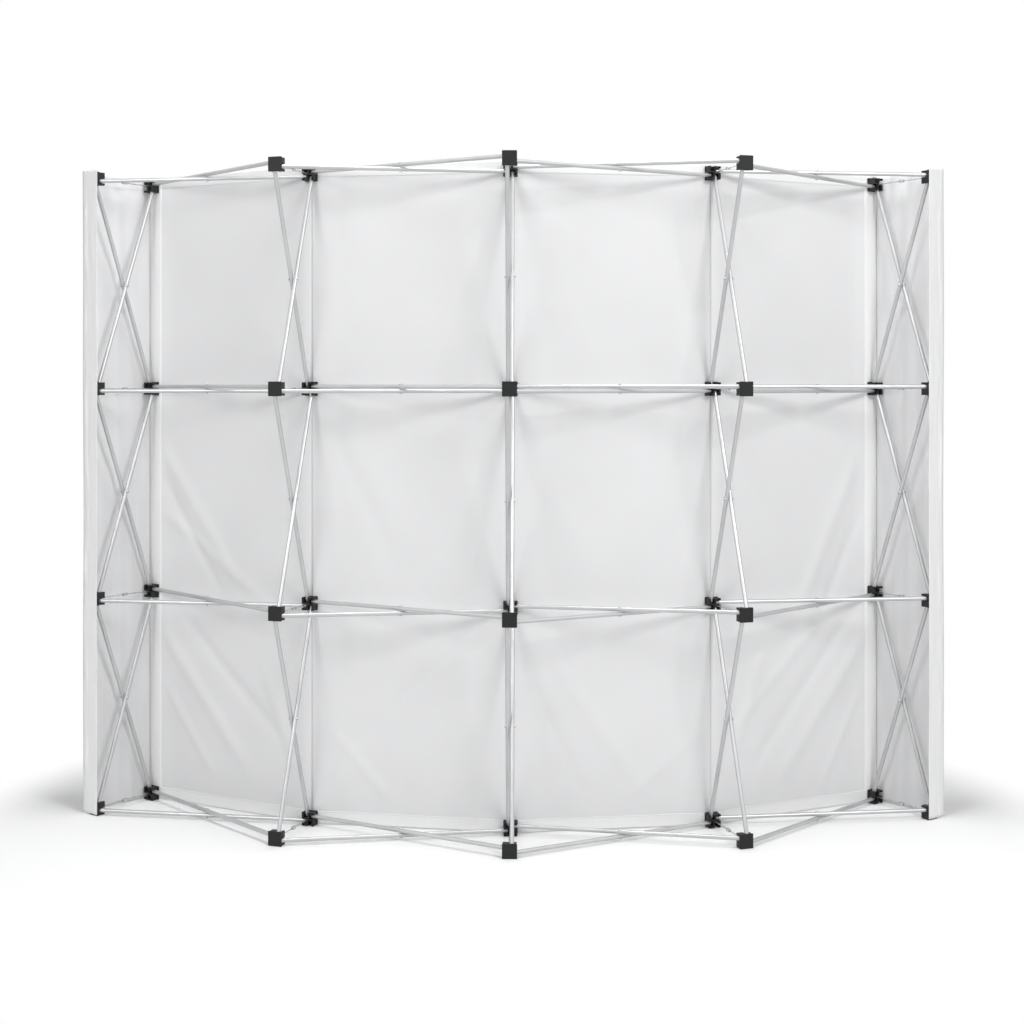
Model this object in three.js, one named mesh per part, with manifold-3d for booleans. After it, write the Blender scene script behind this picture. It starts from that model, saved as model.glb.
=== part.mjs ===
// A curved pop-up display backwall, four bays wide and three bays high, in millimetres, +Z up.
// Five columns of hubs stand on an arc. Each column has a rear hub and a front hub at four heights.
// Paired tubes cross between the hubs like scissors, and a white fabric closes the concave front.
// The fabric faces -Y and the bare frame faces +Y. Columns count from -X and rows from the floor.
import * as THREE from 'three';
import { mergeVertices } from 'three/addons/utils/BufferGeometryUtils.js';
import Module from 'manifold-3d';

const wasm = await Module();
wasm.setup();

// Driving dimensions.
const COLUMNS = 5;
const ROWS = 4;
const TUBE_SPAN = 743; // from pin to pin, the same for every tube
const HUB_DEPTH = 243.403; // from the rear pins to the front pins of an open column
const BAY_ANGLE = 18; // degrees between neighbouring columns
const TUBE_WIDTH = 14;
const TUBE_PAST_PIN = 5;
const HUB_SIZE = 48; // side of the square cap
const BLOCK_SIZE = 44; // side of the slotted block behind the cap
const BLOCK_DEPTH = 17; // from the pins to the open end of the block
const CORE_HALF = 5; // half of the solid middle of the block
const CAP_THICKNESS = 5;
const PIN_OFFSET = 14; // from the middle of the hub to each pin
const PIN_DIAMETER = 5;
const RUNNING_CLEARANCE = 0.3; // around each pin, at its corners
const SIDE_CLEARANCE = 0.5; // between a tube and each wall of its slot
const SEAT_GAP = 0.3; // between pieces that touch
const OVERLAP = 1; // how far pieces that are joined run into each other
const RIVET_DIAMETER = 12;
const RIVET_SHANK = 5;
const RIVET_HEIGHT = 3;
const REAR_ROD_DIAMETER = 3.5;
const FRONT_ROD_DIAMETER = 4.5;
const CLIP_SIZE = 10;
const CLIP_LENGTH = 18;
const FABRIC_THICKNESS = 2;
const FABRIC_ABOVE_HUBS = 8;
const FABRIC_OFF_FLOOR = 4;
const END_PANEL_OFF_HUB = 2;
const WRAP_OFF_HUB = 40; // how far an end panel's rear corner stands outside its hub
const WRAP_ROUND = 10; // cut off that corner
const LIP_SHORT = 4; // how far an end panel's lip stops short of the rear cap's inner edge
const BAY_WAVES = 2;
const BAY_WAVE_HEIGHT = 3;
const END_FOLDS = 3;
const END_FOLD_HEIGHT = 7;
const WAVE_STEPS = 6; // points on each wave
const BAR_SIDES = 6; // of pins, rods and rivets
const TUBE_SIDES = 8;

// What follows from them.
const halfAngle = THREE.MathUtils.degToRad(BAY_ANGLE / 2);
const slotOffset = TUBE_WIDTH / 2 + SIDE_CLEARANCE;
const cornerReach = Math.hypot(TUBE_PAST_PIN, TUBE_WIDTH / 2);
const capInside = Math.ceil(cornerReach);
const capFace = capInside + CAP_THICKNESS;
const uprightRise = Math.sqrt(TUBE_SPAN ** 2 - HUB_DEPTH ** 2); // of a tube between rows
const rowPitch = uprightRise + 2 * PIN_OFFSET;
const bayRun = Math.sqrt(TUBE_SPAN ** 2 - (HUB_DEPTH * Math.cos(halfAngle)) ** 2);
const midChord = bayRun + 2 * PIN_OFFSET * Math.cos(halfAngle);
const rearRadius = (midChord / Math.sin(halfAngle) + HUB_DEPTH) / 2;
const tubeSlope = Math.atan2(HUB_DEPTH * Math.cos(halfAngle), bayRun);
const leanShare = Math.tan(halfAngle) * Math.tan(tubeSlope);
const rivetFromRear = (TUBE_SPAN * (1 + leanShare)) / 2;
const floorToHub = HUB_SIZE / 2;
const fabricTop = floorToHub + (ROWS - 1) * rowPitch + HUB_SIZE / 2 + FABRIC_ABOVE_HUBS;
const fabricBack = HUB_DEPTH + capFace + SEAT_GAP;

function finish(color, roughness, metalness) {
  return new THREE.MeshStandardMaterial({ color, roughness, metalness });
}

const aluminium = finish(0xb4b5b7, 0.35, 0.9);
const charcoal = finish(0x3a3b3d, 0.6, 0);
const whiteFabric = finish(0xe4e4e4, 0.9, 0);

function solidFrom(geometry) {
  geometry.deleteAttribute('normal');
  geometry.deleteAttribute('uv');
  const merged = mergeVertices(geometry, 1e-4);
  const vertProperties = new Float32Array(merged.attributes.position.array);
  const triVerts = new Uint32Array(merged.index.array);
  return new wasm.Manifold(new wasm.Mesh({ numProp: 3, vertProperties, triVerts }));
}

function geometryFrom(solid) {
  const mesh = solid.getMesh();
  const geometry = new THREE.BufferGeometry();
  geometry.setAttribute('position', new THREE.BufferAttribute(mesh.vertProperties, 3));
  geometry.setIndex(new THREE.BufferAttribute(mesh.triVerts, 1));
  geometry.computeVertexNormals();
  return geometry;
}

function boxSolid(low, high) {
  const size = new THREE.Vector3().subVectors(high, low);
  const middle = new THREE.Vector3().addVectors(low, high).multiplyScalar(0.5);
  const geometry = new THREE.BoxGeometry(size.x, size.y, size.z);
  return solidFrom(geometry.translate(middle.x, middle.y, middle.z));
}

// A faceted bar between two points, whose width is measured across its flats.
function barSolid(start, end, width, sides = BAR_SIDES) {
  const along = new THREE.Vector3().subVectors(end, start);
  const radius = width / 2 / Math.cos(Math.PI / sides);
  const geometry = new THREE.CylinderGeometry(radius, radius, along.length(), sides);
  geometry.rotateY(Math.PI / sides);
  const turn = new THREE.Quaternion().setFromUnitVectors(new THREE.Vector3(0, 1, 0), along.normalize());
  const middle = new THREE.Vector3().addVectors(start, end).multiplyScalar(0.5);
  return solidFrom(geometry.applyQuaternion(turn).translate(middle.x, middle.y, middle.z));
}

// A tube along +X, from short of its first pin at x 0 to a chosen end. Its bore is left out.
function tubeBar(end) {
  const start = new THREE.Vector3(-TUBE_PAST_PIN, 0, 0);
  return barSolid(start, new THREE.Vector3(end, 0, 0), TUBE_WIDTH, TUBE_SIDES);
}

function rivetHead(place, side) {
  const inside = new THREE.Vector3(place, 0, 0);
  const outside = new THREE.Vector3(place, 0, side * (TUBE_WIDTH / 2 + RIVET_HEIGHT));
  return barSolid(inside, outside, RIVET_DIAMETER);
}

// A tube of a crossing pair, from its rear pin at x 0 to its front pin, with its rivet head on +Z.
function scissorTube() {
  let tube = tubeBar(TUBE_SPAN + TUBE_PAST_PIN);
  const pinCorners = PIN_DIAMETER / Math.cos(Math.PI / BAR_SIDES);
  const holeWidth = pinCorners + 2 * RUNNING_CLEARANCE;
  for (const x of [0, TUBE_SPAN]) {
    const low = new THREE.Vector3(x, 0, -TUBE_WIDTH);
    const high = new THREE.Vector3(x, 0, TUBE_WIDTH);
    tube = tube.subtract(barSolid(low, high, holeWidth));
  }
  return tube.add(rivetHead(rivetFromRear, 1));
}

// The hub's slots form a pinwheel: each lies to one side of the middle, so crossing tubes pass.
// Each slot is given as the direction it opens in and the direction it is set off to, in X and Z.
const SLOTS = {
  right: { out: [1, 0], off: [0, 1] },
  left: { out: [-1, 0], off: [0, -1] },
  top: { out: [0, 1], off: [-1, 0] },
  bottom: { out: [0, -1], off: [1, 0] },
};

function slotCut({ out, off }) {
  const width = 2 * slotOffset;
  const near = new THREE.Vector3(out[0] * CORE_HALF, -HUB_SIZE, out[1] * CORE_HALF);
  const farX = out[0] * HUB_SIZE + off[0] * width;
  const farZ = out[1] * HUB_SIZE + off[1] * width;
  const far = new THREE.Vector3(farX, capInside, farZ);
  return boxSolid(near.clone().min(far), near.clone().max(far));
}

function slotPin({ out, off }) {
  const from = new THREE.Vector3(out[0] * PIN_OFFSET, 0, out[1] * PIN_OFFSET);
  const across = new THREE.Vector3(off[0], 0, off[1]);
  const start = from.clone().addScaledVector(across, -CORE_HALF / 2);
  const end = from.clone().addScaledVector(across, 2 * slotOffset + CORE_HALF / 2);
  return barSolid(start, end, PIN_DIAMETER);
}

// A square plate about the hub's middle, from one place along Y to another.
function squarePlate(size, from, to) {
  const half = size / 2;
  return boxSolid(new THREE.Vector3(-half, from, -half), new THREE.Vector3(half, to, half));
}

// A hub with its pins at y 0 and its cap on +Y.
function hubSolid(pinned) {
  let hub = squarePlate(BLOCK_SIZE, -BLOCK_DEPTH, capInside + OVERLAP);
  for (const slot of Object.values(SLOTS)) hub = hub.subtract(slotCut(slot));
  hub = hub.add(squarePlate(HUB_SIZE, capInside, capFace));
  for (const name of pinned) hub = hub.add(slotPin(SLOTS[name]));
  return hub;
}

// The two halves of the thin lock rod between a rear hub and its front hub meet at the clip.
const clipFromFront = HUB_DEPTH / 2 - CLIP_LENGTH / 2;

function lockRod(reach, diameter) {
  return barSolid(new THREE.Vector3(0, 0, 0), new THREE.Vector3(0, -reach, 0), diameter);
}

function rearRod() {
  return lockRod(HUB_DEPTH - clipFromFront - CLIP_LENGTH - SEAT_GAP, REAR_ROD_DIAMETER);
}

function frontRod() {
  const clip = squarePlate(CLIP_SIZE, -clipFromFront - CLIP_LENGTH, -clipFromFront);
  return lockRod(clipFromFront + OVERLAP, FRONT_ROD_DIAMETER).add(clip);
}

// A tube that runs between rows, on its rear pin. It stops just clear of the front hub's block,
// because the front hub leaves it when the wall folds. Rise is -1 from an upper hub, 1 from a lower.
function uprightTube(rise) {
  const slope = Math.atan2(uprightRise, HUB_DEPTH);
  const clear = PIN_OFFSET - HUB_SIZE / 2 - SEAT_GAP;
  const cutBack = (TUBE_WIDTH / 2) / Math.tan(slope);
  const end = TUBE_SPAN + (clear - cutBack) / Math.sin(slope);
  const turn = new THREE.Matrix4().makeRotationZ(-Math.PI / 2);
  turn.premultiply(new THREE.Matrix4().makeRotationX(-rise * slope));
  turn.setPosition(-rise * slotOffset, 0, rise * PIN_OFFSET);
  return tubeBar(end).transform(turn.elements);
}

function uprightRivet() {
  const reach = slotOffset + TUBE_WIDTH / 2;
  const middle = new THREE.Vector3(0, -HUB_DEPTH / 2, rowPitch / 2);
  const point = (x) => middle.clone().setX(x);
  let rivet = barSolid(point(-reach), point(reach), RIVET_SHANK);
  for (const side of [-1, 1]) {
    const headTop = point(side * (reach + RIVET_HEIGHT));
    rivet = rivet.add(barSolid(point(side * slotOffset), headTop, RIVET_DIAMETER));
  }
  return rivet;
}

// Which of a column's side slots hold a tube. Seen from its own front, a front hub is turned round.
function sidePins(column, turned) {
  const pins = [];
  if (column < COLUMNS - 1) pins.push(turned ? 'left' : 'right');
  if (column > 0) pins.push(turned ? 'right' : 'left');
  return pins;
}

// Everything of a column that stays together as the wall folds in width: its rear hubs,
// their halves of the lock rods, and the riveted pairs of tubes between the rows.
function rearColumn(column) {
  let whole = null;
  for (let row = 0; row < ROWS; row += 1) {
    const pinned = sidePins(column, false);
    if (row > 0) pinned.push('bottom');
    if (row < ROWS - 1) pinned.push('top');
    const level = hubSolid(pinned).add(rearRod()).translate(0, 0, row * rowPitch);
    whole = whole ? whole.add(level) : level;
  }
  for (let bay = 0; bay < ROWS - 1; bay += 1) {
    const pair = uprightTube(1).add(uprightTube(-1).translate(0, 0, rowPitch)).add(uprightRivet());
    whole = whole.add(pair.translate(0, 0, bay * rowPitch));
  }
  return geometryFrom(whole);
}

function frontHub(column) {
  const hub = hubSolid(sidePins(column, true)).add(frontRod());
  return geometryFrom(hub.rotate(0, 0, 180));
}

function columnAngle(column) {
  return 2 * halfAngle * (column - (COLUMNS - 1) / 2);
}

// The plan place of a point that lies u to the right of a column's middle and w behind its rear pins.
function planPoint(column, u, w) {
  const angle = columnAngle(column);
  const out = rearRadius + w;
  const x = out * Math.sin(angle) + u * Math.cos(angle);
  const y = out * Math.cos(angle) - u * Math.sin(angle);
  return new THREE.Vector2(x, y - rearRadius);
}

// Points from one place to another, with soft waves that stand off to the given side.
function wavyRun(start, end, side, waves, height) {
  const run = new THREE.Vector2().subVectors(end, start);
  const off = new THREE.Vector2(-run.y, run.x).normalize().multiplyScalar(side);
  const points = [];
  const steps = waves * WAVE_STEPS;
  for (let i = 0; i <= steps; i += 1) {
    const t = i / steps;
    const swell = (1 - Math.cos(2 * Math.PI * waves * t)) / 2;
    const taper = Math.sin(Math.PI * t);
    points.push(start.clone().addScaledVector(run, t).addScaledVector(off, height * swell * taper));
  }
  return points;
}

// A sheet of even thickness that follows a plan line, its thickness to the right of the line.
function sheetGeometry(line) {
  const outer = line.map((point, i) => {
    const before = line[Math.max(i - 1, 0)];
    const after = line[Math.min(i + 1, line.length - 1)];
    const first = new THREE.Vector2().subVectors(point, before).normalize();
    const second = new THREE.Vector2().subVectors(after, point).normalize();
    const along = new THREE.Vector2().addVectors(first, second).normalize();
    const cosHalf = Math.max(along.dot(i > 0 ? first : second), 0.5);
    const right = new THREE.Vector2(along.y, -along.x);
    return point.clone().addScaledVector(right, FABRIC_THICKNESS / cosHalf);
  });
  const shape = new THREE.Shape([...line, ...outer.reverse()]);
  const height = fabricTop - FABRIC_OFF_FLOOR;
  const geometry = new THREE.ExtrudeGeometry(shape, { depth: height, bevelEnabled: false });
  return geometryFrom(solidFrom(geometry.translate(0, 0, FABRIC_OFF_FLOOR)));
}

// The front panel lies on the front caps and runs straight from cap to cap.
function frontPanel() {
  const half = HUB_SIZE / 2;
  const line = [planPoint(0, -half - END_PANEL_OFF_HUB + SEAT_GAP, -fabricBack)];
  for (let column = 0; column < COLUMNS - 1; column += 1) {
    const start = planPoint(column, half, -fabricBack);
    const end = planPoint(column + 1, -half, -fabricBack);
    line.push(...wavyRun(start, end, -1, BAY_WAVES, BAY_WAVE_HEIGHT));
  }
  line.push(planPoint(COLUMNS - 1, half + END_PANEL_OFF_HUB - SEAT_GAP, -fabricBack));
  return sheetGeometry(line);
}

// An end panel starts at the front corner, spreads outwards past the end hubs, and turns in to
// close over the rear caps.
function endPanel(side) {
  const column = side > 0 ? COLUMNS - 1 : 0;
  const half = HUB_SIZE / 2;
  const rear = capFace + SEAT_GAP;
  const place = (out, w) => planPoint(column, side * out, w);
  const start = place(half + END_PANEL_OFF_HUB, -fabricBack - FABRIC_THICKNESS);
  const corner = place(half + WRAP_OFF_HUB, rear - WRAP_ROUND);
  const turned = place(half + WRAP_OFF_HUB - WRAP_ROUND, rear);
  const lip = place(LIP_SHORT - half, rear);
  const line = [...wavyRun(start, corner, -side, END_FOLDS, END_FOLD_HEIGHT), turned, lip];
  return sheetGeometry(side > 0 ? line : line.reverse());
}

const model = new THREE.Group();

function addMesh(parent, name, geometry, material) {
  const mesh = new THREE.Mesh(geometry, material.clone());
  mesh.name = name;
  parent.add(mesh);
  return mesh;
}

function addColumns() {
  for (let column = 0; column < COLUMNS; column += 1) {
    const stand = new THREE.Group();
    const place = planPoint(column, 0, 0);
    stand.position.set(place.x, place.y, floorToHub);
    stand.rotation.z = -columnAngle(column);
    model.add(stand);
    addMesh(stand, `rear_column_${column + 1}`, rearColumn(column), charcoal);
    const geometry = frontHub(column);
    for (let row = 0; row < ROWS; row += 1) {
      const hub = addMesh(stand, `front_hub_${column + 1}_${row + 1}`, geometry, charcoal);
      hub.position.set(0, -HUB_DEPTH, row * rowPitch);
    }
  }
}

// In each bay the upper tube runs from the rear hub at -X to the front hub at +X.
// The lower tube is the same tube turned over, from the rear hub at +X to the front hub at -X.
function addCrossingTubes() {
  const geometry = geometryFrom(scissorTube());
  for (let bay = 0; bay < COLUMNS - 1; bay += 1) {
    for (const side of [1, -1]) {
      const rear = side > 0 ? bay : bay + 1;
      const front = side > 0 ? bay + 1 : bay;
      const start = planPoint(rear, side * PIN_OFFSET, 0);
      const end = planPoint(front, -side * PIN_OFFSET, -HUB_DEPTH);
      for (let row = 0; row < ROWS; row += 1) {
        const which = side > 0 ? 'upper' : 'lower';
        const name = `${which}_tube_${bay + 1}_${row + 1}`;
        const tube = addMesh(model, name, geometry, aluminium);
        tube.position.set(start.x, start.y, floorToHub + row * rowPitch + side * slotOffset);
        tube.rotation.order = 'ZYX';
        tube.rotation.z = Math.atan2(end.y - start.y, end.x - start.x);
        tube.rotation.x = side > 0 ? 0 : Math.PI;
      }
    }
  }
}

function addFabric() {
  addMesh(model, 'fabric_front', frontPanel(), whiteFabric);
  addMesh(model, 'fabric_end_left', endPanel(-1), whiteFabric);
  addMesh(model, 'fabric_end_right', endPanel(1), whiteFabric);
}

addColumns();
addCrossingTubes();
addFabric();

// The origin is on the floor, under the middle of the whole.
const whole = new THREE.Group();
whole.add(model);
const bounds = new THREE.Box3().setFromObject(whole, true);
const centre = bounds.getCenter(new THREE.Vector3());
model.position.set(-centre.x, -centre.y, -bounds.min.z);

export default whole;
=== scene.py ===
"""Looks for a curved pop-up display backwall: round tubes, moulded hubs, lock rods and a white fabric.

Lengths are in metres. A column's own directions are u, along the wall towards +X, and w, out of
the concave side towards the rear. Columns count from -X and rows from the floor, both from 0 here.
"""

import math

import bpy
from mathutils import Matrix, Vector, noise


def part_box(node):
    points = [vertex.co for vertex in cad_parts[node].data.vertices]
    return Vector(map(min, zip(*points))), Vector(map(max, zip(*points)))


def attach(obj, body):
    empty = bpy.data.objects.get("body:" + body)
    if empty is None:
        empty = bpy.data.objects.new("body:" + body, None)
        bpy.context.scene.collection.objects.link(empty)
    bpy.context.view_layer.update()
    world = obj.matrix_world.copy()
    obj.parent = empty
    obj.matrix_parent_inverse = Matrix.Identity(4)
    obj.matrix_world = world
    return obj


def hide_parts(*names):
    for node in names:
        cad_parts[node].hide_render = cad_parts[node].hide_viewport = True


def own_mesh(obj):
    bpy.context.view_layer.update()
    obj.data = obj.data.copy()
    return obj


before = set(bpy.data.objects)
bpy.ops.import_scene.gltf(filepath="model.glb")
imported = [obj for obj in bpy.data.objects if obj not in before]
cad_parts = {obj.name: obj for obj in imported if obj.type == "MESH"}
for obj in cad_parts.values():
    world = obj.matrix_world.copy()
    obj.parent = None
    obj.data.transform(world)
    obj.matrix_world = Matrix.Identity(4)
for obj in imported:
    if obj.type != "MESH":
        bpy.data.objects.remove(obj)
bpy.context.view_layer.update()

# The frame's own sizes, as the solids have them.
COLUMNS = 5
ROWS = 4
ROW_PITCH = 0.730
TUBE_SPAN = 0.743
HALF_BAY = math.radians(9)
TUBE_RADIUS = 0.007
TUBE_BORE = 0.0058
TUBE_PAST_PIN = 0.005
HUB_SIZE = 0.048
BLOCK_HALF = 0.022
BLOCK_DEPTH = 0.017
CORE_HALF = 0.005
CAP_INSIDE = 0.009
CAP_FACE = 0.014
PIN_OFFSET = 0.014
PIN_RADIUS = 0.0025
SLOT_WIDTH = 0.015
FABRIC_ABOVE_HUBS = 0.008
FABRIC_OFF_FLOOR = 0.004
SEAT_GAP = 0.0003
END_PANEL_OFF_HUB = 0.002
WRAP_OFF_HUB = 0.040
WRAP_ROUND = 0.010
LIP_SHORT = 0.004

# What follows from them.
SLOT_OFFSET = SLOT_WIDTH / 2
HUB_DEPTH = math.sqrt(TUBE_SPAN**2 - (ROW_PITCH - 2 * PIN_OFFSET) ** 2)
BAY_RUN = math.sqrt(TUBE_SPAN**2 - (HUB_DEPTH * math.cos(HALF_BAY)) ** 2)
MID_CHORD = BAY_RUN + 2 * PIN_OFFSET * math.cos(HALF_BAY)
REAR_RADIUS = (MID_CHORD / math.sin(HALF_BAY) + HUB_DEPTH) / 2
TUBE_SLOPE = math.atan2(HUB_DEPTH * math.cos(HALF_BAY), BAY_RUN)
RIVET_FROM_REAR = TUBE_SPAN * (1 + math.tan(HALF_BAY) * math.tan(TUBE_SLOPE)) / 2
FLOOR_TO_HUB = HUB_SIZE / 2
FABRIC_BACK = HUB_DEPTH + CAP_FACE + SEAT_GAP
FABRIC_TOP = FLOOR_TO_HUB + (ROWS - 1) * ROW_PITCH + HUB_SIZE / 2 + FABRIC_ABOVE_HUBS
REAR_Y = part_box("rear_column_3")[1].y - CAP_FACE


def column_angle(column):
    """The turn of a column about the centre of the wall's curve."""
    return 2 * HALF_BAY * (column - (COLUMNS - 1) / 2)


def plan_point(column, u, w, z=0.0):
    """The point u along and w behind a column's rear pins, at height z."""
    angle = column_angle(column)
    out = REAR_RADIUS + w
    x = out * math.sin(angle) + u * math.cos(angle)
    y = out * math.cos(angle) - u * math.sin(angle) - REAR_RADIUS + REAR_Y
    return Vector((x, y, z))


def row_height(row):
    return FLOOR_TO_HUB + row * ROW_PITCH


# ---------------------------------------------------------------- materials

# Sockets of Blender's Mix node when it mixes colours.
MIX_LOW = 6
MIX_HIGH = 7
MIX_RESULT = 2

WEAVE_SCALE = 260

# How a noise is stretched, as scales in X, Y and Z.
EVEN = (1, 1, 1)
ALONG_TUBE = (0.02, 1, 1)
PARTLY_ALONG_TUBE = (0.4, 1, 1)


def new_material(name, colour, roughness, metallic=0.0):
    material = bpy.data.materials.new(name)
    material.use_nodes = True
    shader = material.node_tree.nodes["Principled BSDF"]
    shader.inputs["Base Color"].default_value = (*colour, 1)
    shader.inputs["Roughness"].default_value = roughness
    shader.inputs["Metallic"].default_value = metallic
    return material, material.node_tree, shader


def stretched_noise(tree, scale, stretch, detail=3.0):
    place = tree.nodes.new("ShaderNodeTexCoord")
    mapping = tree.nodes.new("ShaderNodeMapping")
    mapping.inputs["Scale"].default_value = stretch
    texture = tree.nodes.new("ShaderNodeTexNoise")
    texture.inputs["Scale"].default_value = scale
    texture.inputs["Detail"].default_value = detail
    tree.links.new(place.outputs["Object"], mapping.inputs["Vector"])
    tree.links.new(mapping.outputs["Vector"], texture.inputs["Vector"])
    return texture.outputs["Fac"]


def ranged(tree, value, low, high):
    """A value from 0 to 1, spread from low to high."""
    scaled = tree.nodes.new("ShaderNodeMapRange")
    scaled.inputs["To Min"].default_value = low
    scaled.inputs["To Max"].default_value = high
    tree.links.new(value, scaled.inputs["Value"])
    return scaled.outputs["Result"]


def ramped(tree, value, low, high, start=0.3, end=0.7):
    """A colour from low to high while the value goes from start to end."""
    ramp = tree.nodes.new("ShaderNodeValToRGB")
    ramp.color_ramp.elements[0].position = start
    ramp.color_ramp.elements[1].position = end
    ramp.color_ramp.elements[0].color = (*low, 1)
    ramp.color_ramp.elements[1].color = (*high, 1)
    tree.links.new(value, ramp.inputs["Fac"])
    return ramp.outputs["Color"]


def add_bump(tree, shader, height, strength, distance):
    bump = tree.nodes.new("ShaderNodeBump")
    bump.inputs["Strength"].default_value = strength
    bump.inputs["Distance"].default_value = distance
    tree.links.new(height, bump.inputs["Height"])
    tree.links.new(bump.outputs["Normal"], shader.inputs["Normal"])


def anodised_aluminium():
    """Drawn tube with a satin skin: fine lines along it and slow changes of tone."""
    material, tree, shader = new_material("anodised_aluminium", (0.53, 0.535, 0.54), 0.36, 0.55)
    drawn = stretched_noise(tree, 900, ALONG_TUBE, 4)
    patches = stretched_noise(tree, 14, PARTLY_ALONG_TUBE, 2)
    colour = ramped(tree, patches, (0.49, 0.495, 0.5), (0.57, 0.575, 0.58))
    tree.links.new(colour, shader.inputs["Base Color"])
    tree.links.new(ranged(tree, drawn, 0.26, 0.42), shader.inputs["Roughness"])
    add_bump(tree, shader, drawn, strength=0.12, distance=0.0002)
    return material


def bright_steel():
    """Plated pins, rivets and rods, slightly uneven in gloss."""
    material, tree, shader = new_material("bright_steel", (0.56, 0.57, 0.58), 0.25, 1.0)
    spots = stretched_noise(tree, 260, EVEN, 3)
    tree.links.new(ranged(tree, spots, 0.18, 0.36), shader.inputs["Roughness"])
    colour = ramped(tree, spots, (0.48, 0.49, 0.5), (0.62, 0.63, 0.64))
    tree.links.new(colour, shader.inputs["Base Color"])
    return material


def moulded_plastic(name, colour):
    """Fine grained, with clouds of tone and edges worn a little paler."""
    material, tree, shader = new_material(name, colour, 0.5)
    shader.inputs["Specular IOR Level"].default_value = 0.22
    grain = stretched_noise(tree, 1400, EVEN, 2)
    clouds = stretched_noise(tree, 45, EVEN, 3)
    shape = tree.nodes.new("ShaderNodeNewGeometry")
    edges = ramped(tree, shape.outputs["Pointiness"], (0, 0, 0), (1, 1, 1), 0.51, 0.6)
    base = ramped(tree, clouds, [c * 0.85 for c in colour], [c * 1.2 for c in colour])
    worn = [c * 1.5 + 0.005 for c in colour]
    mix = tree.nodes.new("ShaderNodeMix")
    mix.data_type = "RGBA"
    mix.inputs[MIX_HIGH].default_value = (*worn, 1)
    tree.links.new(edges, mix.inputs["Factor"])
    tree.links.new(base, mix.inputs[MIX_LOW])
    tree.links.new(mix.outputs[MIX_RESULT], shader.inputs["Base Color"])
    tree.links.new(ranged(tree, clouds, 0.42, 0.6), shader.inputs["Roughness"])
    add_bump(tree, shader, grain, strength=0.25, distance=0.00015)
    return material


def weave_height(tree):
    """A plain weave: threads across, times threads up."""
    place = tree.nodes.new("ShaderNodeTexCoord")
    weave = tree.nodes.new("ShaderNodeMath")
    weave.operation = "MULTIPLY"
    for socket, direction in zip(weave.inputs, ("X", "Z")):
        threads = tree.nodes.new("ShaderNodeTexWave")
        threads.bands_direction = direction
        threads.inputs["Scale"].default_value = WEAVE_SCALE
        threads.inputs["Distortion"].default_value = 0.6
        tree.links.new(place.outputs["Object"], threads.inputs["Vector"])
        tree.links.new(threads.outputs["Fac"], socket)
    return weave.outputs[0]


def woven_fabric(name, colour, depth):
    """Polyester with a fine weave, uneven in tone by the share given as depth."""
    material, tree, shader = new_material(name, colour, 0.88)
    shader.inputs["Sheen Weight"].default_value = 0.15
    shader.inputs["Sheen Roughness"].default_value = 0.5
    shader.inputs["Specular IOR Level"].default_value = 0.25
    tone = stretched_noise(tree, 3.2, EVEN, 3)
    low = [c * (1 - depth) for c in colour]
    tree.links.new(ramped(tree, tone, low, colour), shader.inputs["Base Color"])
    add_bump(tree, shader, weave_height(tree), strength=0.2, distance=0.0002)
    return material


ALUMINIUM = anodised_aluminium()
STEEL = bright_steel()
CHARCOAL = moulded_plastic("charcoal_plastic", (0.013, 0.0132, 0.0138))
FABRIC = woven_fabric("white_fabric", (0.76, 0.76, 0.765), 0.03)
BAND = woven_fabric("loop_band", (0.84, 0.84, 0.842), 0.02)
THREAD = woven_fabric("sewing_thread", (0.5, 0.5, 0.51), 0.05)


# ---------------------------------------------------------------- mesh building

HARD_EDGE = math.radians(40)
CLOTH_EDGE = math.radians(60)


def mesh_from(name, verts, faces, sharp_from=HARD_EDGE):
    mesh = bpy.data.meshes.new(name)
    mesh.from_pydata(verts, [], faces)
    mesh.validate()
    mesh.shade_smooth()
    mesh.set_sharp_from_angle(angle=sharp_from)
    return mesh


def lathe(name, profile, sides):
    """A solid turned about X from (x, radius) points. A radius of 0 closes it on the axis."""
    verts, faces, rings = [], [], []
    for x, radius in profile:
        if radius == 0:
            verts.append((x, 0, 0))
            rings.append([len(verts) - 1] * sides)
            continue
        rings.append(list(range(len(verts), len(verts) + sides)))
        for i in range(sides):
            angle = 2 * math.pi * i / sides
            verts.append((x, radius * math.cos(angle), radius * math.sin(angle)))
    closed = profile[0][1] > 0
    pairs = list(zip(rings, rings[1:] + ([rings[0]] if closed else [])))
    for first, second in pairs:
        for i in range(sides):
            j = (i + 1) % sides
            corners = [first[i], first[j], second[j], second[i]]
            faces.append(tuple(dict.fromkeys(corners)))
    return mesh_from(name, verts, faces)


def moulding(outlines, low, high, bevel):
    """Outlines in the plane of a hub's cap, extruded along Y from low to high with rounded edges."""
    curve = bpy.data.curves.new("moulding", "CURVE")
    curve.dimensions = "2D"
    curve.fill_mode = "BOTH"
    curve.extrude = (high - low) / 2 - bevel
    curve.bevel_depth = bevel
    curve.bevel_resolution = 1
    curve.offset = -bevel
    for outline in outlines:
        spline = curve.splines.new("POLY")
        spline.points.add(len(outline) - 1)
        for point, (u, v) in zip(spline.points, outline):
            point.co = (u, v, 0, 1)
        spline.use_cyclic_u = True
    holder = bpy.data.objects.new("moulding", curve)
    bpy.context.scene.collection.objects.link(holder)
    bpy.context.view_layer.update()
    graph = bpy.context.evaluated_depsgraph_get()
    mesh = bpy.data.meshes.new_from_object(holder.evaluated_get(graph))
    bpy.data.objects.remove(holder)
    bpy.data.curves.remove(curve)
    upright = Matrix.Rotation(math.radians(90), 4, "X")
    mesh.transform(Matrix.Translation((0, (low + high) / 2, 0)) @ upright)
    return mesh


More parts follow.
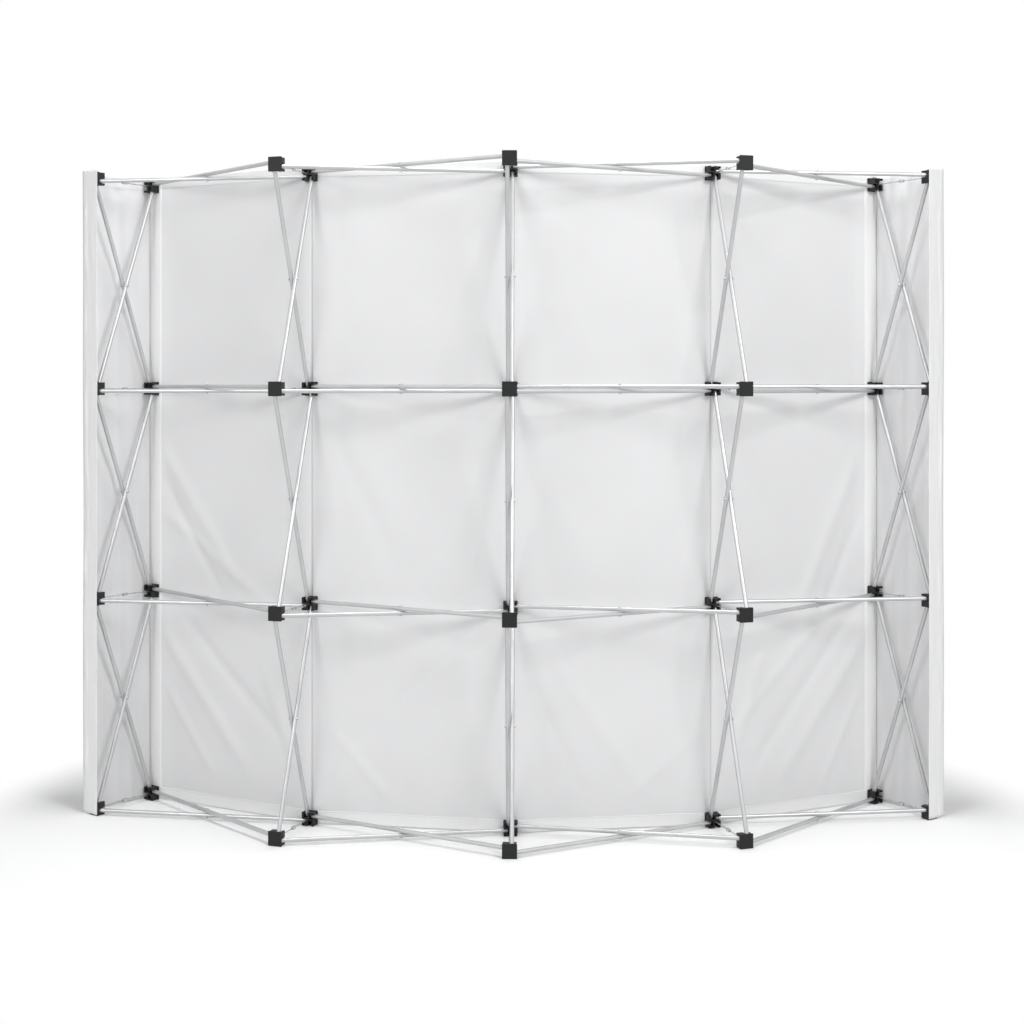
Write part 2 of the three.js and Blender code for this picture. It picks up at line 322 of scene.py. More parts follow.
def joined(name, parts):
    """One mesh from several."""
    verts, faces = [], []
    for mesh in parts:
        start = len(verts)
        verts.extend(tuple(v.co) for v in mesh.vertices)
        faces.extend(tuple(start + i for i in p.vertices) for p in mesh.polygons)
    return mesh_from(name, verts, faces)


def circle(centre, radius, sides=20):
    points = []
    for i in range(sides):
        angle = i * 2 * math.pi / sides
        points.append((centre[0] + radius * math.cos(angle), centre[1] + radius * math.sin(angle)))
    return points


def rounded_square(half, radius, steps=4):
    points = []
    for quarter, (sx, sy) in enumerate(((1, 1), (-1, 1), (-1, -1), (1, -1))):
        for i in range(steps + 1):
            angle = math.pi / 2 * (quarter + i / steps)
            points.append((
                sx * (half - radius) + radius * math.cos(angle),
                sy * (half - radius) + radius * math.sin(angle),
            ))
    return points


def place_piece(name, mesh, matrix, material, body):
    piece = bpy.data.objects.new(name, mesh)
    if not mesh.materials:
        mesh.materials.append(material)
    bpy.context.scene.collection.objects.link(piece)
    piece.matrix_world = matrix
    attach(piece, body)
    return piece


# ---------------------------------------------------------------- hubs

PRONG_HOLE = 0.003
PRONG_HOLE_FROM_EDGE = 0.0055
BLOCK_EDGE_ROUND = 0.0007
CAP_EDGE_ROUND = 0.0012
CAP_CORNER = 0.0025
BLOCK_IN_CAP = 0.0005
PIN_SIDES = 16


def pinwheel_outline():
    """The slotted block seen from its open end: one arm, repeated in quarter turns."""
    arm = [
        (CORE_HALF, 0), (BLOCK_HALF, 0), (BLOCK_HALF, -BLOCK_HALF),
        (SLOT_WIDTH, -BLOCK_HALF), (SLOT_WIDTH, -CORE_HALF),
    ]
    points = []
    for _ in range(4):
        points.extend(arm)
        arm = [(v, -u) for u, v in arm]
    return points


def hub_mesh():
    """Cap on +Y, pins at y 0, slots open towards -Y. Seen with +X to the right and +Z up."""
    across = BLOCK_HALF - PRONG_HOLE_FROM_EDGE
    up = (SLOT_WIDTH + BLOCK_HALF) / 2
    holes = []
    for side_u, side_v in ((1, 1), (-1, 1), (-1, -1), (1, -1)):
        holes.append(circle((side_u * across, side_v * up), PRONG_HOLE))
    outlines = [pinwheel_outline(), *holes]
    block = moulding(outlines, -BLOCK_DEPTH, CAP_INSIDE + BLOCK_IN_CAP, BLOCK_EDGE_ROUND)
    square = rounded_square(HUB_SIZE / 2, CAP_CORNER)
    cap = moulding([square], CAP_INSIDE, CAP_FACE, CAP_EDGE_ROUND)
    return joined("hub", (block, cap))


def pin_mesh():
    end = (SLOT_WIDTH + CORE_HALF) / 2
    profile = [(-end, 0), (-end, PIN_RADIUS), (end, PIN_RADIUS), (end, 0)]
    return lathe("pin", profile, PIN_SIDES)


# Each slot opens in one direction and is set off to another, both as steps in X and Z.
SLOTS = {
    "right": ((1, 0), (0, 1)),
    "left": ((-1, 0), (0, -1)),
    "top": ((0, 1), (-1, 0)),
    "bottom": ((0, -1), (1, 0)),
}


def pin_matrix(slot):
    out, off = SLOTS[slot]
    x = out[0] * PIN_OFFSET + off[0] * SLOT_OFFSET
    z = out[1] * PIN_OFFSET + off[1] * SLOT_OFFSET
    turn = Matrix.Identity(4) if off[0] else Matrix.Rotation(math.radians(-90), 4, "Y")
    return Matrix.Translation((x, 0, z)) @ turn


def hub_frame(column, row, front):
    angle = -column_angle(column) + (math.pi if front else 0)
    place = plan_point(column, 0, -HUB_DEPTH if front else 0, row_height(row))
    return Matrix.Translation(place) @ Matrix.Rotation(angle, 4, "Z")


def used_slots(column, row, front):
    slots = []
    if column < COLUMNS - 1:
        slots.append("left" if front else "right")
    if column > 0:
        slots.append("right" if front else "left")
    if row > 0:
        slots.append("bottom")
    if row < ROWS - 1:
        slots.append("top")
    return slots


def add_hub(shell, pin, column, row, side):
    front = side == "front"
    body = f"{side}_{column + 1}"
    label = f"{column + 1}_{row + 1}"
    place = hub_frame(column, row, front)
    hub = place_piece(f"{side}_hub_piece_{label}", shell, place, CHARCOAL, body)
    if front:
        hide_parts(f"front_hub_{label}")
    elif row == 0:
        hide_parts(f"rear_column_{column + 1}")
    for slot in used_slots(column, row, front):
        place_piece(f"{side}_pin_{slot}_{label}", pin, place @ pin_matrix(slot), STEEL, body)


def add_hubs():
    shell, pin = hub_mesh(), pin_mesh()
    for column in range(COLUMNS):
        for side in ("rear", "front"):
            for row in range(ROWS):
                add_hub(shell, pin, column, row, side)


# ---------------------------------------------------------------- tubes and rivets

TUBE_SIDES = 28
END_ROUND = 0.0004
RIVET_SIDES = 20
WASHER_RADIUS = 0.0062
WASHER_RISE = 0.0008
WASHER_SINK = 0.0012
DOME_RADIUS = 0.0046
DOME_RISE = 0.0028
DOME_ANGLES = (0.45, 0.8, 1.15, 1.4)
SHANK_RADIUS = 0.0028
THIN_SIDES = 14
ABOUT_Y = Matrix.Rotation(math.radians(-90), 4, "Y")


def tube_mesh():
    """A tube along X, from just past its rear pin at x 0 to just past its front pin."""
    low, high = -TUBE_PAST_PIN, TUBE_SPAN + TUBE_PAST_PIN
    profile = [
        (low, TUBE_BORE), (low, TUBE_RADIUS - END_ROUND), (low + END_ROUND, TUBE_RADIUS),
        (high - END_ROUND, TUBE_RADIUS), (high, TUBE_RADIUS - END_ROUND), (high, TUBE_BORE),
    ]
    return lathe("tube", profile, TUBE_SIDES)


def rivet_mesh():
    """A domed head on its washer. The tube's side is at x 0 and the dome points along +X."""
    profile = [
        (-WASHER_SINK, 0), (-WASHER_SINK, WASHER_RADIUS),
        (WASHER_RISE, WASHER_RADIUS), (WASHER_RISE, DOME_RADIUS),
    ]
    for angle in DOME_ANGLES:
        profile.append((WASHER_RISE + DOME_RISE * math.sin(angle), DOME_RADIUS * math.cos(angle)))
    profile.append((WASHER_RISE + DOME_RISE, 0))
    return lathe("rivet", profile, RIVET_SIDES)


def shank_mesh():
    end = SLOT_OFFSET
    profile = [(-end, 0), (-end, SHANK_RADIUS), (end, SHANK_RADIUS), (end, 0)]
    return lathe("shank", profile, THIN_SIDES)


def aimed(start, end, spin=0.0):
    """X from start to end, Z as near upright as that allows, then spun about X."""
    along = (end - start).normalized()
    upright = Vector((0, 0, 1))
    across = upright.cross(along).normalized()
    basis = Matrix((along, across, along.cross(across))).transposed().to_4x4()
    return Matrix.Translation(start) @ basis @ Matrix.Rotation(spin, 4, "X")


def add_crossing_tube(meshes, bay, row, which):
    """The upper tube runs from the bay's first column at the rear to its second at the front."""
    tube, rivet, shank = meshes
    side = 1 if which == "upper" else -1
    rear, front = (bay, bay + 1) if side > 0 else (bay + 1, bay)
    height = row_height(row) + side * SLOT_OFFSET
    start = plan_point(rear, side * PIN_OFFSET, 0, height)
    end = plan_point(front, -side * PIN_OFFSET, -HUB_DEPTH, height)
    matrix = aimed(start, end, 0 if side > 0 else math.pi)
    body = f"{which}_tubes_{bay + 1}"
    label = f"{bay + 1}_{row + 1}"
    piece = place_piece(f"{which}_tube_piece_{label}", tube, matrix, ALUMINIUM, body)
    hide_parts(f"{which}_tube_{label}")
    head = Matrix.Translation((RIVET_FROM_REAR, 0, TUBE_RADIUS)) @ ABOUT_Y
    place_piece(f"{which}_rivet_{label}", rivet, matrix @ head, STEEL, body)
    if side > 0:
        middle = Matrix.Translation((RIVET_FROM_REAR, 0, -SLOT_OFFSET)) @ ABOUT_Y
        place_piece(f"crossing_shank_{label}", shank, matrix @ middle, STEEL, body)


def add_crossing_tubes(meshes):
    for bay in range(COLUMNS - 1):
        for which in ("upper", "lower"):
            for row in range(ROWS):
                add_crossing_tube(meshes, bay, row, which)


def add_upright_pair(meshes, column, bay):
    """Two tubes that cross between a column's rows, with their rivet."""
    tube, rivet, shank = meshes
    body = f"rear_{column + 1}"
    label = f"{column + 1}_{bay + 1}"
    low = row_height(bay) + PIN_OFFSET
    high = row_height(bay + 1) - PIN_OFFSET
    pair = (("falling", SLOT_OFFSET, high, low), ("rising", -SLOT_OFFSET, low, high))
    for name, u, rear_z, front_z in pair:
        start = plan_point(column, u, 0, rear_z)
        end = plan_point(column, u, -HUB_DEPTH, front_z)
        place_piece(f"{name}_tube_{label}", tube, aimed(start, end), ALUMINIUM, body)
    middle = Matrix.Translation(plan_point(column, 0, -HUB_DEPTH / 2, (low + high) / 2))
    middle = middle @ Matrix.Rotation(-column_angle(column), 4, "Z")
    for name, side, turn in (("right", 1, 0), ("left", -1, math.pi)):
        out = Matrix.Translation((side * (SLOT_OFFSET + TUBE_RADIUS), 0, 0))
        seat = middle @ out @ Matrix.Rotation(turn, 4, "Z")
        place_piece(f"upright_rivet_{name}_{label}", rivet, seat, STEEL, body)
    place_piece(f"upright_shank_{label}", shank, middle, STEEL, body)


def add_upright_tubes(meshes):
    for column in range(COLUMNS):
        for bay in range(ROWS - 1):
            add_upright_pair(meshes, column, bay)


# ---------------------------------------------------------------- lock rods

REAR_ROD_RADIUS = 0.0016
FRONT_ROD_RADIUS = 0.0022
CLIP_HALF = 0.005
CLIP_LENGTH = 0.018
CLIP_CORNER = 0.0015
CLIP_BORE = 0.002
CLIP_EDGE_ROUND = 0.0006
CLIP_START = (HUB_DEPTH - CLIP_LENGTH) / 2


def rod_mesh(name, length, radius):
    return lathe(name, [(0, 0), (0, radius), (length, radius), (length, 0)], THIN_SIDES)


def clip_mesh():
    outlines = [rounded_square(CLIP_HALF, CLIP_CORNER), circle((0, 0), CLIP_BORE, THIN_SIDES)]
    return moulding(outlines, 0, CLIP_LENGTH, CLIP_EDGE_ROUND)


def add_lock_rods():
    """Thin rods from each pair of hubs meet in a small clip half way."""
    rear_length = HUB_DEPTH - CLIP_START - CLIP_LENGTH - SEAT_GAP
    rear_rod = rod_mesh("rear_rod", rear_length, REAR_ROD_RADIUS)
    front_rod = rod_mesh("front_rod", CLIP_START, FRONT_ROD_RADIUS)
    clip = clip_mesh()
    clip_seat = Matrix.Translation((CLIP_START, 0, 0)) @ Matrix.Rotation(math.radians(-90), 4, "Z")
    for column in range(COLUMNS):
        for row in range(ROWS):
            label = f"{column + 1}_{row + 1}"
            rear = plan_point(column, 0, 0, row_height(row))
            front = plan_point(column, 0, -HUB_DEPTH, row_height(row))
            forwards, back = aimed(rear, front), aimed(front, rear)
            place_piece(f"rear_rod_{label}", rear_rod, forwards, STEEL, f"rear_{column + 1}")
            place_piece(f"front_rod_{label}", front_rod, back, STEEL, f"front_{column + 1}")
            place_piece(f"lock_clip_{label}", clip, back @ clip_seat, STEEL, f"front_{column + 1}")


# ---------------------------------------------------------------- fabric

CLOTH = 0.0006
CLOTH_SLACK = 0.009
ROWS_OF_CLOTH = 200
BAY_STEPS = 84
BAND_LIFT = CLOTH * 0.75

# Each bay of the front cloth rides on one body, and folds towards one column, counted from 0.
BAY_BODIES = ("front_2", "front_3", "front_3", "front_4")


def smooth(t):
    t = max(0.0, min(1.0, t))
    return t * t * (3 - 2 * t)


def bay_line(bay):
    """The plan corners of one bay's cloth, from the middle of a front cap to the next, or an end."""
    half = HUB_SIZE / 2
    out = -FABRIC_BACK - CLOTH
    first = 0.0 if bay > 0 else -half - END_PANEL_OFF_HUB + SEAT_GAP
    last = 0.0 if bay < COLUMNS - 2 else half + END_PANEL_OFF_HUB - SEAT_GAP
    return [
        plan_point(bay, first, out), plan_point(bay, half, out),
        plan_point(bay + 1, -half, out), plan_point(bay + 1, last, out),
    ]


def along_line(corners, count):
    """Evenly spaced plan points along the corners, each with its direction to the left."""
    lengths = [(b - a).length for a, b in zip(corners, corners[1:])]
    total = sum(lengths)
    points = []
    for i in range(count + 1):
        distance = total * i / count
        leg = 0
        while leg < len(lengths) - 1 and distance > lengths[leg]:
            distance -= lengths[leg]
            leg += 1
        run = (corners[leg + 1] - corners[leg]).normalized()
        points.append((corners[leg] + run * distance, Vector((-run.y, run.x, 0)), total * i / count))
    return points, total


HUB_EASE = 0.09


def hub_ease(distance_to_cap):
    return smooth(distance_to_cap / HUB_EASE)


PULL_RISE = 0.0018
PULL_REACH = 0.22
PULL_START = 0.08
PULL_FOLDS = 5.0
LEAN_PER_ROW = 0.9
LEAN_PER_METRE = 2.1


def pull_folds(u, z, anchors):
    """Soft creases that fan out from where the cloth is held."""
    height = 0.0
    for au, az, lean in anchors:
        du, dz = u - au, z - az
        reach = math.hypot(du, dz)
        fade = math.exp(-reach / PULL_REACH) * smooth(reach / PULL_START)
        height += PULL_RISE * fade * math.sin(PULL_FOLDS * math.atan2(dz, du) + lean)
    return height


CREASE_FADE = 0.15


def diagonal_creases(u, z, creases):
    """Each crease is a soft ridge: its start, its end, its width and its height."""
    height = 0.0
    for u0, z0, u1, z1, width, rise in creases:
        run = Vector((u1 - u0, z1 - z0))
        rel = Vector((u - u0, z - z0))
        t = rel.dot(run) / run.length_squared
        off = (rel.x * run.y - rel.y * run.x) / run.length
        begins = smooth((t + CREASE_FADE) / (2 * CREASE_FADE))
        ends = smooth((1 + CREASE_FADE - t) / (2 * CREASE_FADE))
        height += rise * begins * ends * math.exp(-((off / width) ** 2))
    return height


NOISE_TALLER = 0.5
SEED_STEP = 7.31


def noise_at(u, z, scale, seed):
    """A smooth unevenness from -1 to 1, longer in height than along the cloth."""
    return noise.noise(Vector((u * scale, z * scale * NOISE_TALLER, seed * SEED_STEP)))


# Height, scale and seed of each layer of slight unevenness in a bay.
RIPPLES = ((0.0028, 4.0, 0), (0.0010, 13.0, 9))

# Creases of each bay, in metres along the bay and up from the floor: start, end, width, height.
BAY_CREASES = {
    0: [
        (0.10, 1.22, 0.34, 0.72, 0.030, 0.0060), (0.05, 1.10, 0.26, 0.66, 0.022, -0.0050),
        (0.04, 0.62, 0.42, 0.14, 0.030, 0.0070), (0.12, 0.68, 0.52, 0.20, 0.024, -0.0060),
        (0.50, 0.55, 0.66, 0.14, 0.024, 0.0050), (0.22, 0.70, 0.60, 0.34, 0.020, 0.0045),
        (0.08, 0.40, 0.24, 0.10, 0.018, 0.0040),
    ],
    1: [
        (0.60, 0.66, 0.26, 0.16, 0.028, 0.0055), (0.66, 1.30, 0.45, 0.95, 0.030, 0.0030),
        (0.66, 0.60, 0.44, 0.12, 0.020, -0.0040), (0.05, 0.30, 0.30, 0.10, 0.022, 0.0032),
    ],
    2: [
        (0.08, 0.62, 0.34, 0.14, 0.028, 0.0055), (0.62, 1.35, 0.40, 0.90, 0.030, -0.0030),
        (0.16, 0.66, 0.50, 0.30, 0.020, -0.0035), (0.60, 0.30, 0.42, 0.10, 0.020, 0.0036),
    ],
    3: [
        (0.66, 0.62, 0.28, 0.16, 0.026, 0.0065), (0.68, 1.30, 0.34, 0.84, 0.026, 0.0060),
        (0.66, 1.18, 0.40, 0.78, 0.018, -0.0055), (0.66, 1.05, 0.22, 0.76, 0.020, 0.0045),
        (0.20, 0.50, 0.06, 0.16, 0.020, 0.0040), (0.55, 0.66, 0.16, 0.30, 0.022, -0.0055),
        (0.64, 0.42, 0.44, 0.14, 0.018, 0.0045),
    ],
}


def bay_depth(bay, u, z, total):
    """How far the cloth stands off its straight line. It is never towards the caps."""
    from_caps = min(u, total - u) - HUB_SIZE / 2
    anchors = []
    for row in range(ROWS):
        for au in (0.0, total):
            lean = LEAN_PER_ROW * row + LEAN_PER_METRE * au + bay
            anchors.append((au, row_height(row), lean))
    height = pull_folds(u, z, anchors)
    height += diagonal_creases(u, z, BAY_CREASES[bay])
    for rise, scale, seed in RIPPLES:
        height += rise * noise_at(u, z, scale, bay + seed)
    return min(0.0, height - CLOTH_SLACK) * hub_ease(from_caps)


HEM = 0.042
HEM_STEPS = 8
ROWS_NEAR_HEM = (-0.001, 0, 0.0015, 0.003)


def heights():
    """Rows of the cloth, closer together where the hems end."""
    low, high = FABRIC_OFF_FLOOR, FABRIC_TOP
    levels = [low + (high - low) * i / ROWS_OF_CLOTH for i in range(ROWS_OF_CLOTH + 1)]
    for offset in ROWS_NEAR_HEM:
        levels += [low + HEM + offset, high - HEM - offset]
    return sorted(set(round(z, 6) for z in levels))


def grid_mesh(name, columns, zs, place):
    verts = [tuple(place(i, z)) for z in zs for i in range(columns)]
    faces = []
    for j in range(len(zs) - 1):
        for i in range(columns - 1):
            a = j * columns + i
            faces.append((a, a + 1, a + columns + 1, a + columns))
    return mesh_from(name, verts, faces, CLOTH_EDGE)


def place_cloth(name, columns, zs, place, material, body, thickness=CLOTH):
    """A sheet of cloth whose point at a step and a height is place(step, height)."""
    mesh = grid_mesh(name, columns, zs, place)
    piece = place_piece(name, mesh, Matrix.Identity(4), material, body)
    solid = piece.modifiers.new("cloth", "SOLIDIFY")
    solid.thickness = thickness
    solid.offset = 0
    return piece


def squash_bay(piece):
    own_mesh(piece)


def on_bay(bay, points, total, i, z, lift=0.0):
    """The point of a bay's cloth at a step and a height, lifted off it towards the rear."""
    point, left, u = points[i]
    return point + left * (bay_depth(bay, u, z, total) + lift) + Vector((0, 0, z))


def add_bay(bay):
    points, total = along_line(bay_line(bay), BAY_STEPS)

    def place(i, z):
        return on_bay(bay, points, total, i, z)

    name = f"fabric_bay_{bay + 1}"
    piece = place_cloth(name, len(points), heights(), place, FABRIC, BAY_BODIES[bay])
    if bay == 1:
        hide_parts("fabric_front")
    squash_bay(piece)
    add_hems(bay, points, total)
    add_stitches(bay)


def add_hems(bay, points, total):
    """A second layer of cloth over each edge."""
    def place(i, z):
        return on_bay(bay, points, total, i, z, BAND_LIFT)

    for edge, start, step in (("low", FABRIC_OFF_FLOOR, 1), ("high", FABRIC_TOP, -1)):
        levels = sorted(start + step * HEM * k / HEM_STEPS for k in range(HEM_STEPS + 1))
        name = f"hem_{edge}_{bay + 1}"
        piece = place_cloth(name, len(points), levels, place, BAND, BAY_BODIES[bay], CLOTH / 2)
        squash_bay(piece)


STITCH_PITCH = 0.004
STITCH_LENGTH = 0.0028
STITCH_WIDTH = 0.0007
STITCH_IN = 0.004
BOX_FACES = ((0, 1, 3, 2), (4, 6, 7, 5), (0, 4, 5, 1), (2, 3, 7, 6), (0, 2, 6, 4), (1, 5, 7, 3))


def stitch_box(centre, left):
    """The eight corners of one stitch, which lies along the cloth and is half sunk in it."""
    along = Vector((left.y, -left.x, 0))
    corners = []
    for a in (-STITCH_LENGTH / 2, STITCH_LENGTH / 2):
        for b in (-STITCH_WIDTH / 4, STITCH_WIDTH / 4):
            for c in (-STITCH_WIDTH / 2, STITCH_WIDTH / 2):
                corners.append(tuple(centre + along * a + left * b + Vector((0, 0, c))))
    return corners


def add_stitches(bay):
    """A row of stitches along the inner edge of both hems."""
    _, total = along_line(bay_line(bay), 1)
    points, total = along_line(bay_line(bay), int(total / STITCH_PITCH))
    inner = HEM - STITCH_IN
    for edge, z in (("low", FABRIC_OFF_FLOOR + inner), ("high", FABRIC_TOP - inner)):
        verts, faces = [], []
        for i in range(1, len(points) - 1):
            centre = on_bay(bay, points, total, i, z, BAND_LIFT + CLOTH / 4)
            start = len(verts)
            verts.extend(stitch_box(centre, points[i][1]))
            faces.extend(tuple(start + corner for corner in face) for face in BOX_FACES)
        name = f"stitches_{edge}_{bay + 1}"
        mesh = mesh_from(name, verts, faces)
        piece = place_piece(name, mesh, Matrix.Identity(4), THREAD, BAY_BODIES[bay])
        squash_bay(piece)


WRAP_STEPS = 60
TURN_STEPS = 6
WRAP_RIPPLE = 0.0016
FOLD_DRIFT = 0.05
FOLD_SWING = 0.55
FOLD_FADE = 0.12
END_SWAY = 0.006

# Place along the depth, width and height of each upright fold of an end wrap.
END_FOLDS = ((0.20, 0.085, 0.0060), (0.47, 0.075, 0.0075), (0.74, 0.080, 0.0062))


def end_fold_depth(t, z, seed):
    """How far an end wrap stands outwards at a share t of its depth."""
    drift = FOLD_DRIFT * noise_at(0.3, z, 1.6, seed)
    height = 0.0
    for place, width, rise in END_FOLDS:
        swing = 1 + FOLD_SWING * noise_at(place * 3, z, 2.2, seed + 3)
        height += rise * swing * math.exp(-(((t - place - drift) / width) ** 2))
    height += WRAP_RIPPLE * noise_at(t * 1.2, z, 9.0, seed + 5)
    return max(0.0, height) * smooth(t / FOLD_FADE) * smooth((1 - t) / FOLD_FADE)


def end_sway(z, side):
    """How far the rear edge of a wrap wanders outwards. The lip starts with the same sway."""
    return END_SWAY * noise_at(0.4, z, 3.0, side + 21)


def wrap_line():
    """Steps from the front corner to the turn behind the rear cap: how far out, w, and the share."""
    half = HUB_SIZE / 2
    front = -FABRIC_BACK - CLOTH
    rear = CAP_FACE + SEAT_GAP + CLOTH
    first = half + END_PANEL_OFF_HUB + CLOTH
    last = half + WRAP_OFF_HUB
    line = []
    for i in range(WRAP_STEPS + 1):
        t = i / WRAP_STEPS
        line.append((first + (last - first) * t, front + (rear - WRAP_ROUND - front) * t, t))
    for i in range(1, TURN_STEPS + 1):
        angle = math.pi / 2 * i / TURN_STEPS
        out = last - WRAP_ROUND * (1 - math.cos(angle))
        line.append((out, rear - WRAP_ROUND * (1 - math.sin(angle)), 1.0))
    return line


def add_end_wrap(side, label):
    """From the front corner, outwards past the end hubs, and round behind the rear caps."""
    column = COLUMNS - 1 if side > 0 else 0
    line = wrap_line()

    def place(i, z):
        out, w, t = line[i]
        out += end_fold_depth(t, z, side + 11) + end_sway(z, side) * smooth(t)
        return plan_point(column, side * out, w, z)

    name = f"fabric_wrap_{label}"
    body = f"end_flap_{label}"
    piece = place_cloth(name, len(line), heights(), place, FABRIC, body)
    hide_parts(f"fabric_end_{label}")


LIP_STEPS = 16
LIP_EDGE_WANDER = 0.003
LIP_PUFF = 0.0035
LIP_RIPPLE = 0.005
LIP_CREASE = 0.004
LIP_HELD_PUFF = 0.25
LIP_HELD_CREASE = 0.3
LIP_RISE_SHARE = 0.15
LIP_FREE_RUN = 0.02


def lip_lift(share, z, free, side):
    """How far the lip stands off the caps, less where it lies on them than where it is free."""
    puff = LIP_PUFF * math.sin(math.pi * share)
    puff += LIP_RIPPLE * noise_at(share * 0.3, z, 14.0, side + 2)
    crease = LIP_CREASE * max(0.0, noise_at(share * 2.0, z, 26.0, side + 6))
    lift = max(0.0, puff) * (LIP_HELD_PUFF + (1 - LIP_HELD_PUFF) * free)
    lift += crease * (LIP_HELD_CREASE + (1 - LIP_HELD_CREASE) * free)
    return lift * smooth(share / LIP_RISE_SHARE)


def add_end_lip(side, label):
    """The last strip of the wrap, which closes over the rear caps."""
    column = COLUMNS - 1 if side > 0 else 0
    half = HUB_SIZE / 2
    first = half + WRAP_OFF_HUB - WRAP_ROUND
    width = first + half - LIP_SHORT
    rear = CAP_FACE + SEAT_GAP + CLOTH

    def place(i, z):
        share = i / LIP_STEPS
        edge = LIP_EDGE_WANDER * noise_at(0.7, z, 9.0, side) * share
        out = first - (width + edge) * share
        free = smooth((out - half) / LIP_FREE_RUN)
        sway = end_sway(z, side) * (1 - smooth(share / 0.5))
        return plan_point(column, side * (out + sway), rear + lip_lift(share, z, free, side), z)

    name = f"fabric_lip_{label}"
    piece = place_cloth(name, LIP_STEPS + 1, heights(), place, BAND, f"end_flap_{label}")
    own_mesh(piece)


CORNER_BAND = 0.056


def add_corner_band(side, label):
    """A lighter strip down each front corner, where the end wrap is sewn on."""
    bay = COLUMNS - 2 if side > 0 else 0
    corners = bay_line(bay)
    if side > 0:
        corners.reverse()
    points, total = along_line(corners, BAY_STEPS)
    count = next(i for i, point in enumerate(points) if point[2] > CORNER_BAND)

    def place(i, z):
        point, left, u = points[i]
        across = u if side < 0 else total - u
        inward = left if side < 0 else -left
        return point + inward * (bay_depth(bay, across, z, total) + BAND_LIFT) + Vector((0, 0, z))

    name = f"corner_band_{label}"
    piece = place_cloth(name, count + 1, heights(), place, BAND, BAY_BODIES[bay], CLOTH / 2)
    squash_bay(piece)


tube_meshes = (tube_mesh(), rivet_mesh(), shank_mesh())
add_hubs()
add_crossing_tubes(tube_meshes)
add_upright_tubes(tube_meshes)
add_lock_rods()
for bay in range(COLUMNS - 1):
    add_bay(bay)
for side, label in ((-1, "left"), (1, "right")):
    add_end_wrap(side, label)
    add_end_lip(side, label)
    add_corner_band(side, label)


# ---------------------------------------------------------------- floor, light and camera

FLOOR_SIZE = 60.0
FLOOR_COLOUR = (0.9, 0.9, 0.9, 1)
FLOOR_SEEN = (0.92, 0.92, 0.92, 1)
FADE_START = 1.62
FADE_END = 2.0
WORLD_COLOUR = (0.98, 0.99, 1.0, 1)
WORLD_LIGHT = 0.37
WHITE = (1, 1, 1, 1)


def background_rays(tree):
    """1 for the rays that show the background: to the camera, off metal and through glass."""
    path = tree.nodes.new("ShaderNodeLightPath")
    total = path.outputs["Is Camera Ray"]
    for kind in ("Is Glossy Ray", "Is Transmission Ray"):
        either = tree.nodes.new("ShaderNodeMath")
        either.operation = "MAXIMUM"
        tree.links.new(total, either.inputs[0])
        tree.links.new(path.outputs[kind], either.inputs[1])
        total = either.outputs[0]
    return total


def far_off(tree):
    """0 near the part, rising to 1 well away from it."""
    place = tree.nodes.new("ShaderNodeTexCoord")
    distance = tree.nodes.new("ShaderNodeVectorMath")
    distance.operation = "LENGTH"
    tree.links.new(place.outputs["Object"], distance.inputs[0])
    fade = tree.nodes.new("ShaderNodeMapRange")
    fade.interpolation_type = "SMOOTHSTEP"
    fade.inputs["From Min"].default_value = FADE_START
    fade.inputs["From Max"].default_value = FADE_END
    tree.links.new(distance.outputs["Value"], fade.inputs["Value"])
    return fade.outputs["Result"]


def stage_material():
    """Pale with the shadows of the part kept, fading to plain white far off."""
    material = bpy.data.materials.new("stage_white")
    material.use_nodes = True
    tree = material.node_tree
    shader = tree.nodes["Principled BSDF"]
    shader.inputs["Roughness"].default_value = 0.85
    background = background_rays(tree)
    seen = tree.nodes.new("ShaderNodeMath")
    seen.operation = "MULTIPLY"
    tree.links.new(far_off(tree), seen.inputs[0])
    tree.links.new(background, seen.inputs[1])
    paint = tree.nodes.new("ShaderNodeMix")
    paint.data_type = "RGBA"
    paint.inputs[MIX_LOW].default_value = FLOOR_COLOUR
    paint.inputs[MIX_HIGH].default_value = FLOOR_SEEN
    tree.links.new(background, paint.inputs["Factor"])
    tree.links.new(paint.outputs[MIX_RESULT], shader.inputs["Base Color"])
    glow = tree.nodes.new("ShaderNodeEmission")
    mix = tree.nodes.new("ShaderNodeMixShader")
    tree.links.new(seen.outputs[0], mix.inputs["Fac"])
    tree.links.new(shader.outputs[0], mix.inputs[1])
    tree.links.new(glow.outputs[0], mix.inputs[2])
    tree.links.new(mix.outputs[0], tree.nodes["Material Output"].inputs["Surface"])
    return material


def add_floor():
    half = FLOOR_SIZE / 2
    corners = [(-half, -half, 0), (half, -half, 0), (half, half, 0), (-half, half, 0)]
    mesh = bpy.data.meshes.new("floor")
    mesh.from_pydata(corners, [], [(0, 1, 2, 3)])
    mesh.materials.append(stage_material())
    floor = bpy.data.objects.new("floor", mesh)
    bpy.context.scene.collection.objects.link(floor)


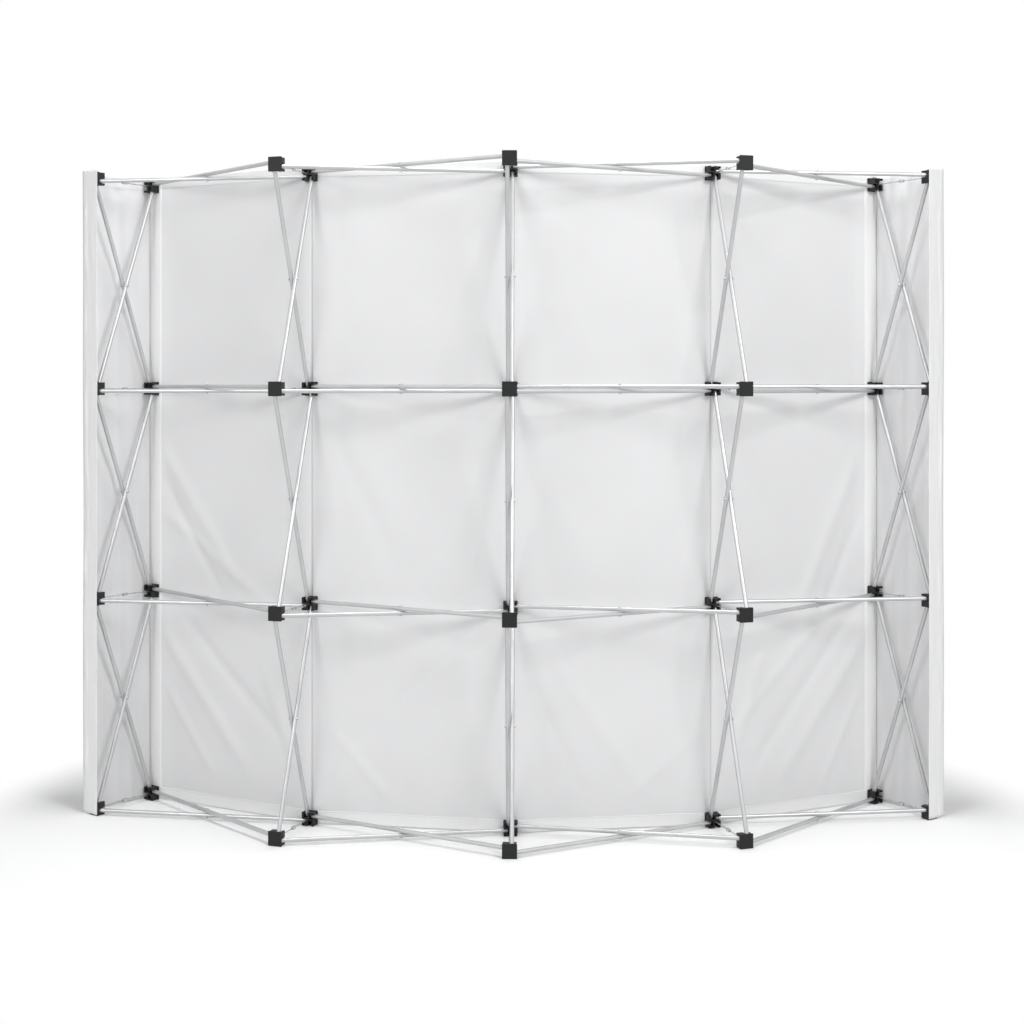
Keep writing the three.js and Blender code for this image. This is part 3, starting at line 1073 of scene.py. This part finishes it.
def add_world():
    """A soft light all round, in front of a white background."""
    world = bpy.data.worlds.new("studio")
    bpy.context.scene.world = world
    world.use_nodes = True
    tree = world.node_tree
    light = tree.nodes["Background"]
    light.inputs["Color"].default_value = WORLD_COLOUR
    light.inputs["Strength"].default_value = WORLD_LIGHT
    white = tree.nodes.new("ShaderNodeBackground")
    white.inputs["Color"].default_value = WHITE
    white.inputs["Strength"].default_value = 1.0
    mix = tree.nodes.new("ShaderNodeMixShader")
    tree.links.new(background_rays(tree), mix.inputs["Fac"])
    tree.links.new(light.outputs[0], mix.inputs[1])
    tree.links.new(white.outputs[0], mix.inputs[2])
    tree.links.new(mix.outputs[0], tree.nodes["World Output"].inputs["Surface"])


# Name, place, what it points at, size and power of each lamp.
LAMPS = (
    ("key_right", (-3.4, 4.4, 4.4), (0, 0, 0.9), 1.8, 155),
    ("fill_left", (3.6, 4.6, 3.6), (0, 0, 0.9), 2.0, 100),
    ("overhead", (0, 0.4, 5.5), (0, 0, 0), 1.8, 118),
)


def add_lamp(name, place, target, size, power):
    lamp = bpy.data.lights.new(name, "AREA")
    lamp.shape = "SQUARE"
    lamp.size = size
    lamp.energy = power
    holder = bpy.data.objects.new(name, lamp)
    bpy.context.scene.collection.objects.link(holder)
    holder.location = place
    holder.rotation_mode = "QUATERNION"
    holder.rotation_quaternion = (Vector(target) - Vector(place)).to_track_quat("-Z", "Y")


# The camera stands behind the wall. Its lens and shift come from the photograph's framing.
PHOTO_SIZE = 1024
FOCAL_PIXELS = 1538.6
PRINCIPAL = (499.9, 386.1)
CAMERA_BEHIND = 4.869
CAMERA_SIDE = -0.0576
CAMERA_HEIGHT = 1.493
CAMERA_YAW = 0.0181
SENSOR = 36.0


def add_camera():
    data = bpy.data.cameras.new("camera")
    data.sensor_width = SENSOR
    data.lens = FOCAL_PIXELS / PHOTO_SIZE * SENSOR
    data.shift_x = (PHOTO_SIZE / 2 - PRINCIPAL[0]) / PHOTO_SIZE
    data.shift_y = (PRINCIPAL[1] - PHOTO_SIZE / 2) / PHOTO_SIZE
    camera = bpy.data.objects.new("camera", data)
    bpy.context.scene.collection.objects.link(camera)
    camera.location = (CAMERA_SIDE, REAR_Y + CAMERA_BEHIND, CAMERA_HEIGHT)
    camera.rotation_euler = (math.radians(90), 0, math.pi + CAMERA_YAW)
    bpy.context.scene.camera = camera


add_floor()
add_world()
for lamp in LAMPS:
    add_lamp(*lamp)
add_camera()
bpy.context.scene.view_settings.view_transform = "Standard"
